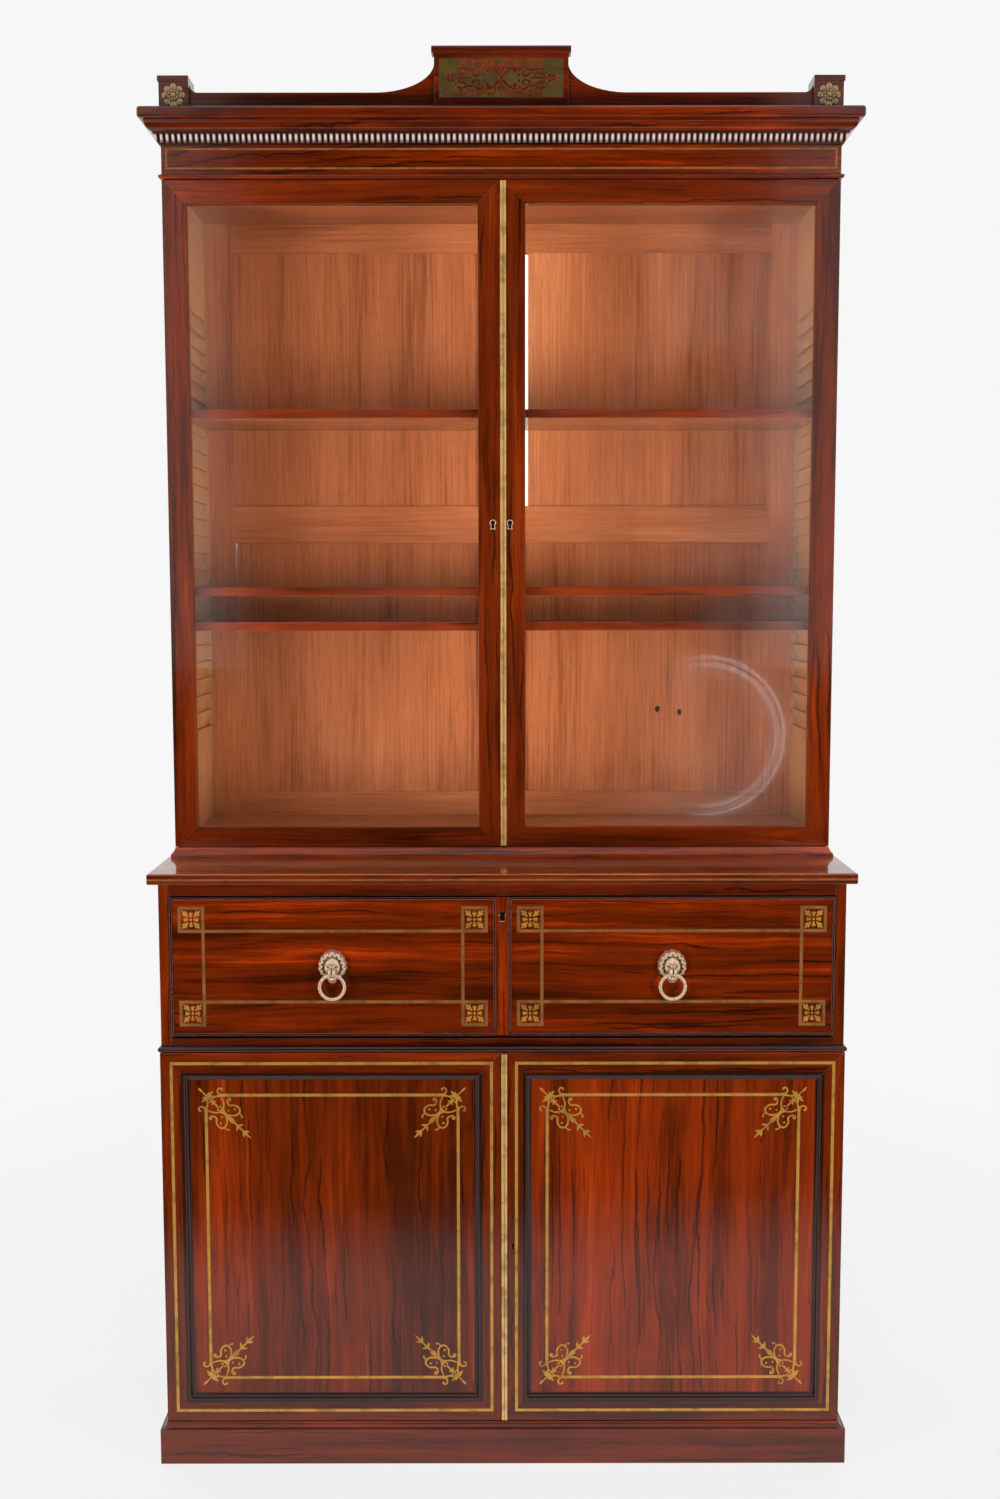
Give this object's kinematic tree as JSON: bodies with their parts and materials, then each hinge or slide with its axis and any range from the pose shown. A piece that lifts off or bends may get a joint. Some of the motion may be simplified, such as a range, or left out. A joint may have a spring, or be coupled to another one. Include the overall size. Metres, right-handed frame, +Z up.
{
  "type": "secretaire bookcase",
  "caption": "Tall two-stage bookcase: glazed doors above a fall-front secretaire drawer and panelled cupboard doors, dark figured wood inlaid with brass lines.",
  "frame": {"origin": "on the floor, under the middle of the whole piece, desk edge to back and side to side", "axes": "+Z up, -Y to the front, +X to the right of someone facing the doors"},
  "size_m": [1.234, 0.475, 2.4415],
  "materials": {
    "rosewood": "french polished, high gloss",
    "rosewood_panel": "french polished, high gloss",
    "mahogany": "waxed, satin",
    "brass": "polished, aged",
    "gilt_brass": "gilt, satin",
    "glass": "clear",
    "leather": "tooled, matt"
  },
  "bodies": {
    "case": {"base_moulding": "rosewood", "bead_row": "rosewood", "book_shelves": "mahogany", "carcase_brass": "brass", "corner_blocks": "rosewood", "cornice_moulding": "rosewood", "cornice_top": "rosewood", "cupboard_shelf": "mahogany", "desk_top": "rosewood", "drawer_guides": "mahogany", "frieze": "rosewood", "gallery_boards": "rosewood", "gallery_brass": "brass", "gallery_tablet": "rosewood", "lower_back": "mahogany", "lower_bottom_board": "mahogany", "lower_side_left": "rosewood", "lower_side_right": "rosewood", "necking_bead": "rosewood", "plinth_frame": "rosewood", "plinth_moulding": "rosewood", "top_rails": "mahogany", "upper_back_frame": "mahogany", "upper_back_panels": "mahogany", "upper_boards": "mahogany", "upper_side_left": "rosewood", "upper_side_right": "rosewood", "waist_bead": "rosewood", "waist_board": "mahogany"},
    "left_upper_door": {"upper_door_left_frame": "rosewood", "upper_door_left_glass": "glass", "upper_door_left_brass": "brass"},
    "left_upper_bolt": {"upper_door_left_bolt": "brass"},
    "right_upper_door": {"upper_door_right_frame": "rosewood", "upper_door_right_glass": "glass", "upper_door_right_brass": "brass", "upper_astragal": "brass"},
    "right_upper_lock": {"upper_lock_bolt": "brass"},
    "left_lower_door": {"lower_door_left_frame": "rosewood", "lower_door_left_panel": "rosewood_panel", "lower_door_left_brass": "brass"},
    "left_lower_bolt": {"lower_door_left_bolt": "brass"},
    "right_lower_door": {"lower_door_right_frame": "rosewood", "lower_door_right_panel": "rosewood_panel", "lower_door_right_brass": "brass", "lower_astragal": "brass"},
    "right_lower_lock": {"lower_lock_bolt": "brass"},
    "secretaire_drawer": {"drawer_case": "mahogany", "drawer_brass": "brass", "pigeonhole_case": "mahogany"},
    "left_inner_drawer": {"small_drawer_left": "mahogany"},
    "right_inner_drawer": {"small_drawer_right": "mahogany"},
    "fall_front": {"fall_board": "rosewood", "fall_beads": "rosewood", "fall_brass": "brass", "fall_leather": "leather", "lion_masks": "gilt_brass"},
    "fall_bolt": {"fall_lock_bolt": "brass"},
    "left_ring": {"ring_pull_left": "gilt_brass"},
    "right_ring": {"ring_pull_right": "gilt_brass"}
  },
  "joints": [
    {"name": "left_upper_door_hinge", "type": "hinge", "parent": "case", "child": "left_upper_door", "pos_m": [-0.584, -0.0381, 1.6395], "axis": [0, 0, -1], "range_deg": [0, 170]},
    {"name": "right_upper_door_hinge", "type": "hinge", "parent": "case", "child": "right_upper_door", "pos_m": [0.584, -0.0381, 1.6395], "axis": [0, 0, 1], "range_deg": [0, 170]},
    {"name": "left_upper_bolt_slide", "type": "slide", "parent": "left_upper_door", "child": "left_upper_bolt", "axis": [0, 0, 1], "range_m": [0, 0.009]},
    {"name": "right_upper_lock_slide", "type": "slide", "parent": "right_upper_door", "child": "right_upper_lock", "axis": [-1, 0, 0], "range_m": [0, 0.009]},
    {"name": "left_lower_door_hinge", "type": "hinge", "parent": "case", "child": "left_lower_door", "pos_m": [-0.586, -0.1951, 0.4015], "axis": [0, 0, -1], "range_deg": [0, 170]},
    {"name": "right_lower_door_hinge", "type": "hinge", "parent": "case", "child": "right_lower_door", "pos_m": [0.586, -0.1951, 0.4015], "axis": [0, 0, 1], "range_deg": [0, 170]},
    {"name": "left_lower_bolt_slide", "type": "slide", "parent": "left_lower_door", "child": "left_lower_bolt", "axis": [0, 0, 1], "range_m": [0, 0.009]},
    {"name": "right_lower_lock_slide", "type": "slide", "parent": "right_lower_door", "child": "right_lower_lock", "axis": [-1, 0, 0], "range_m": [0, 0.009]},
    {"name": "secretaire_drawer_slide", "type": "slide", "parent": "case", "child": "secretaire_drawer", "axis": [0, -1, 0], "range_m": [0, 0.28]},
    {"name": "left_inner_drawer_slide", "type": "slide", "parent": "secretaire_drawer", "child": "left_inner_drawer", "axis": [0, -1, 0], "range_m": [0, 0.13]},
    {"name": "right_inner_drawer_slide", "type": "slide", "parent": "secretaire_drawer", "child": "right_inner_drawer", "axis": [0, -1, 0], "range_m": [0, 0.13]},
    {"name": "fall_hinge", "type": "hinge", "parent": "secretaire_drawer", "child": "fall_front", "pos_m": [0, -0.1955, 0.766], "axis": [1, 0, 0], "range_deg": [0, 90]},
    {"name": "fall_bolt_slide", "type": "slide", "parent": "fall_front", "child": "fall_bolt", "axis": [0, 0, 1], "range_m": [0, 0.009]},
    {"name": "left_ring_swing", "type": "hinge", "parent": "fall_front", "child": "left_ring", "pos_m": [-0.2895, -0.22, 0.866], "axis": [-1, 0, 0], "range_deg": [-14, 100]},
    {"name": "right_ring_swing", "type": "hinge", "parent": "fall_front", "child": "right_ring", "pos_m": [0.2895, -0.22, 0.866], "axis": [-1, 0, 0], "range_deg": [-14, 100]}
  ]
}
